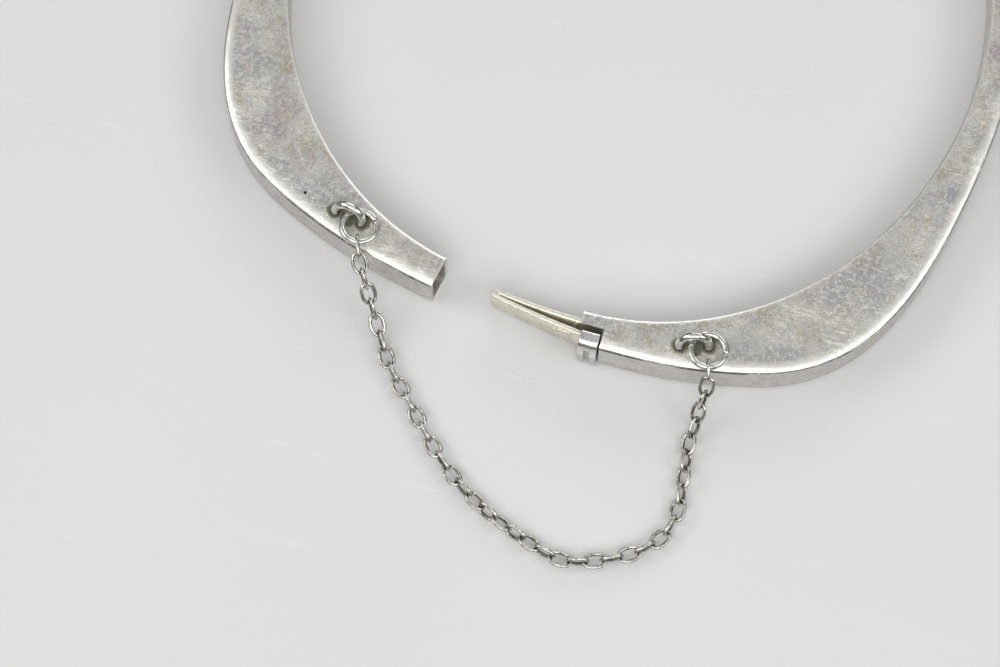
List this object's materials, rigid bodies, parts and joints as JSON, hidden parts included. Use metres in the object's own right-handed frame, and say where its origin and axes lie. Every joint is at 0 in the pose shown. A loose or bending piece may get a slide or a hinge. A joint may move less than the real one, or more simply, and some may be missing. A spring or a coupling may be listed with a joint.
{
  "type": "bangle bracelet",
  "caption": "Hinged hollow silver bangle with rounded-square arms, a box clasp with a sprung tongue, and a fine safety chain between two rings.",
  "frame": {"origin": "centre of the wrist opening (of the closed bangle) on the surface that the bangle lies on", "axes": "+Z is the axis of the wrist opening; the clasp is towards -Y, the hinge towards +Y, the arm with the tongue on +X"},
  "size_m": [0.0637, 0.0821, 0.0063],
  "materials": {
    "plate_silver": "aged silver with mottled patina and fine scratches",
    "wall_silver": "aged silver, softly brushed",
    "wire_silver": "worn bright silver wire",
    "chain_silver": "oxidised silver wire, worn bright on its high spots",
    "clasp_silver": "rough worn silver, slightly yellow",
    "thumbpiece_silver": "silver polished by use",
    "hinge_silver": "aged silver"
  },
  "bodies": {
    "tongue_arm": {"tongue_arm_top_plate": "plate_silver", "tongue_arm_bottom_plate": "plate_silver", "tongue_arm_outer_wall": "wall_silver", "tongue_arm_inner_wall": "wall_silver", "tongue_arm_end_plate": "clasp_silver", "tongue_arm_hinge_knuckles": "hinge_silver", "hinge_pin": "hinge_silver", "tongue_fixed_leaf": "clasp_silver", "tongue_arm_chain_staple": "wire_silver"},
    "spring_tongue": {"tongue_spring_leaf": "clasp_silver", "thumbpiece": "thumbpiece_silver"},
    "receiver_arm": {"receiver_arm_top_plate": "plate_silver", "receiver_arm_bottom_plate": "plate_silver", "receiver_arm_outer_wall": "wall_silver", "receiver_arm_inner_wall": "wall_silver", "receiver_arm_hinge_knuckle": "hinge_silver", "receiver_arm_chain_staple": "wire_silver"},
    "chain_first_stretch": {"tongue_arm_jump_ring": "wire_silver", "chain_link_01": "chain_silver", "chain_link_02": "chain_silver", "chain_link_03": "chain_silver", "chain_link_04": "chain_silver", "chain_link_05": "chain_silver"},
    "chain_second_stretch": {"chain_link_06": "chain_silver", "chain_link_07": "chain_silver", "chain_link_08": "chain_silver", "chain_link_09": "chain_silver", "chain_link_10": "chain_silver", "chain_link_11": "chain_silver", "chain_link_12": "chain_silver", "chain_link_13": "chain_silver", "chain_link_14": "chain_silver", "chain_link_15": "chain_silver", "chain_link_16": "chain_silver", "chain_link_17": "chain_silver", "chain_link_18": "chain_silver", "chain_link_19": "chain_silver"},
    "chain_third_stretch": {"chain_link_20": "chain_silver", "chain_link_21": "chain_silver", "chain_link_22": "chain_silver", "chain_link_23": "chain_silver", "chain_link_24": "chain_silver", "chain_link_25": "chain_silver", "chain_link_26": "chain_silver", "chain_link_27": "chain_silver", "chain_link_28": "chain_silver", "chain_link_29": "chain_silver", "chain_link_30": "chain_silver", "chain_link_31": "chain_silver", "chain_link_32": "chain_silver", "chain_link_33": "chain_silver"},
    "chain_fourth_stretch": {"chain_link_34": "chain_silver", "chain_link_35": "chain_silver", "chain_link_36": "chain_silver", "chain_link_37": "chain_silver", "chain_link_38": "chain_silver", "chain_link_39": "chain_silver", "chain_link_40": "chain_silver", "chain_link_41": "chain_silver"},
    "receiver_arm_ring": {"receiver_arm_jump_ring": "wire_silver"}
  },
  "joints": [
    {"name": "arm_hinge", "type": "hinge", "parent": "tongue_arm", "child": "receiver_arm", "pos_m": [0, 0.0308, 0], "axis": [0, 0, -1], "range_deg": [-11.38, 3.6]},
    {"name": "thumbpiece_press", "type": "hinge", "parent": "tongue_arm", "child": "spring_tongue", "pos_m": [-0.00725, -0.02946, 0.0023], "axis": [0, 0, 1], "range_deg": [0, 2.2], "stiffness_Nm_per_rad": 0.3},
    {"name": "tongue_ring_swivel", "type": "hinge", "parent": "tongue_arm", "child": "chain_first_stretch", "pos_m": [0.01045, -0.02888, 0.0051], "axis": [0, 0, -1], "range_deg": [-23.08, 7.51]},
    {"name": "chain_bend_1", "type": "hinge", "parent": "chain_first_stretch", "child": "chain_second_stretch", "pos_m": [0.011, -0.03575, 0.00082], "axis": [0, 0, -1], "range_deg": [-6.64, 2.31]},
    {"name": "chain_bend_2", "type": "hinge", "parent": "chain_second_stretch", "child": "chain_third_stretch", "pos_m": [0.00137, -0.04788, 0.00078], "axis": [0, 0, -1], "range_deg": [-8.57, 26.45]},
    {"name": "chain_bend_3", "type": "hinge", "parent": "chain_third_stretch", "child": "chain_fourth_stretch", "pos_m": [-0.01421, -0.03652, 0.00078], "axis": [0, 0, -1], "range_deg": [-7.32, 22.5]},
    {"name": "receiver_ring_swivel", "type": "hinge", "parent": "chain_fourth_stretch", "child": "receiver_arm_ring", "pos_m": [-0.01914, -0.02821, 0.00559], "axis": [0, 0, -1], "range_deg": [-22.84, 7.43]}
  ],
  "couplings": [
    {"joint": "tongue_ring_swivel", "follows": "arm_hinge", "ratio": 2.002},
    {"joint": "chain_bend_1", "follows": "arm_hinge", "ratio": 0.557},
    {"joint": "chain_bend_2", "follows": "arm_hinge", "ratio": -2.298},
    {"joint": "chain_bend_3", "follows": "arm_hinge", "ratio": -1.951},
    {"joint": "receiver_ring_swivel", "follows": "arm_hinge", "ratio": 1.981}
  ]
}
